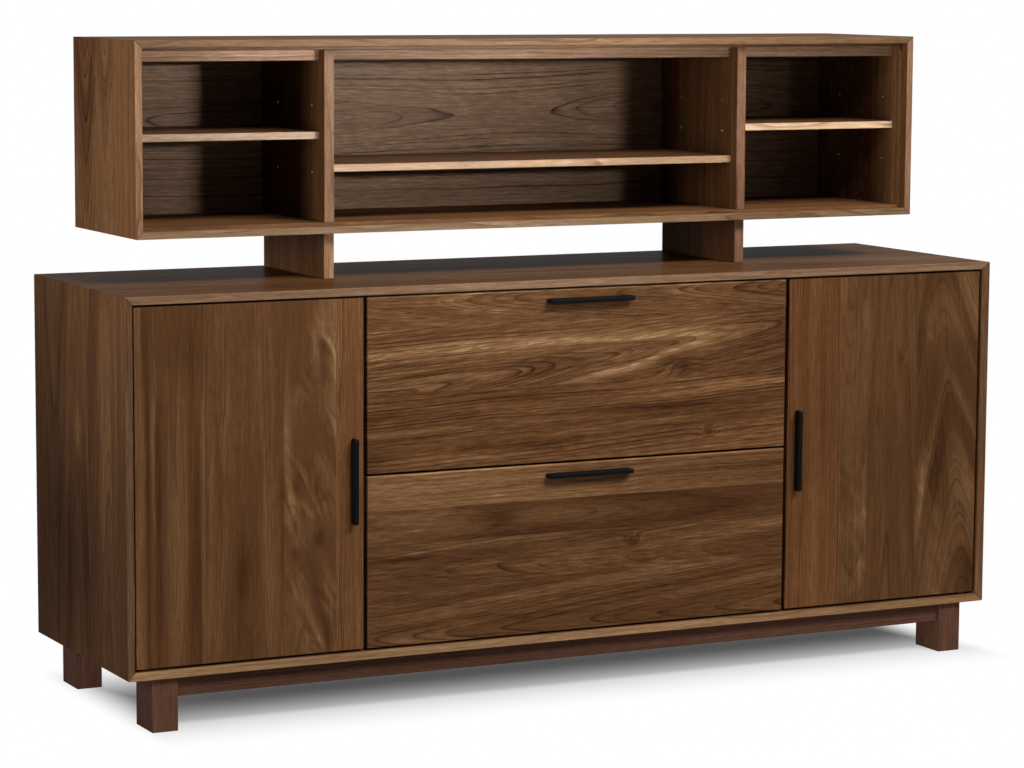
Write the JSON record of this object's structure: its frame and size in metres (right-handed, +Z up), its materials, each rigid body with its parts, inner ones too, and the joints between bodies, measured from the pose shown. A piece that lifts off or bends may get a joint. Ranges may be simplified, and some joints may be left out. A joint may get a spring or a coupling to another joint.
{
  "type": "office credenza",
  "caption": "Walnut office credenza: a low mitred case with hinged doors and wide file drawers on short legs, and an open shelf hutch raised on posts.",
  "frame": {"origin": "on the floor, under the middle of the overall box", "axes": "+Z up, +X along the width to the right as seen from the front, front towards -Y"},
  "size_m": [1.676, 0.465, 1.129],
  "materials": {
    "walnut": "satin lacquered walnut",
    "dark_walnut": "dark satin walnut",
    "drawer_wood": "clear lacquered pale plywood",
    "black_metal": "dark bronze, satin",
    "zinc_steel": "zinc plated",
    "pin_steel": "bare steel",
    "catch_plastic": "brown moulded plastic"
  },
  "bodies": {
    "cabinet": {"case_top": "walnut", "case_bottom": "walnut", "case_left_side": "walnut", "case_right_side": "walnut", "case_back": "walnut", "left_partition": "walnut", "right_partition": "walnut", "left_cabinet_shelf": "walnut", "right_cabinet_shelf": "walnut", "front_left_leg": "dark_walnut", "front_right_leg": "dark_walnut", "rear_left_leg": "dark_walnut", "rear_right_leg": "dark_walnut", "front_apron": "dark_walnut", "left_door_upper_pin": "pin_steel", "left_door_lower_pin": "pin_steel", "right_door_upper_pin": "pin_steel", "right_door_lower_pin": "pin_steel", "left_door_catch": "catch_plastic", "right_door_catch": "catch_plastic", "upper_left_slide_rail": "zinc_steel", "upper_right_slide_rail": "zinc_steel", "lower_left_slide_rail": "zinc_steel", "lower_right_slide_rail": "zinc_steel", "left_post": "walnut", "right_post": "walnut", "hutch_top": "walnut", "hutch_bottom": "walnut", "hutch_left_side": "walnut", "hutch_right_side": "walnut", "hutch_back": "walnut", "hutch_left_divider": "walnut", "hutch_right_divider": "walnut", "hutch_left_rail": "walnut", "hutch_centre_rail": "walnut", "hutch_right_rail": "walnut", "hutch_left_shelf": "walnut", "hutch_centre_shelf": "walnut", "hutch_right_shelf": "walnut"},
    "left_door": {"left_door": "walnut", "left_door_pull": "black_metal"},
    "right_door": {"right_door": "walnut", "right_door_pull": "black_metal"},
    "upper_drawer": {"upper_drawer_front": "walnut", "upper_drawer_left_side": "drawer_wood", "upper_drawer_right_side": "drawer_wood", "upper_drawer_back": "drawer_wood", "upper_drawer_bottom": "drawer_wood", "upper_drawer_pull": "black_metal", "upper_left_slide_runner": "zinc_steel", "upper_right_slide_runner": "zinc_steel"},
    "lower_drawer": {"lower_drawer_front": "walnut", "lower_drawer_left_side": "drawer_wood", "lower_drawer_right_side": "drawer_wood", "lower_drawer_back": "drawer_wood", "lower_drawer_bottom": "drawer_wood", "lower_drawer_pull": "black_metal", "lower_left_slide_runner": "zinc_steel", "lower_right_slide_runner": "zinc_steel"}
  },
  "joints": [
    {"name": "left_door_hinge", "type": "hinge", "parent": "cabinet", "child": "left_door", "pos_m": [-0.80125, -0.207, 0.406], "axis": [0, 0, -1], "range_deg": [0, 110]},
    {"name": "right_door_hinge", "type": "hinge", "parent": "cabinet", "child": "right_door", "pos_m": [0.80125, -0.207, 0.406], "axis": [0, 0, 1], "range_deg": [0, 110]},
    {"name": "upper_drawer_slide", "type": "slide", "parent": "cabinet", "child": "upper_drawer", "axis": [0, -1, 0], "range_m": [0, 0.3]},
    {"name": "lower_drawer_slide", "type": "slide", "parent": "cabinet", "child": "lower_drawer", "axis": [0, -1, 0], "range_m": [0, 0.3]}
  ]
}
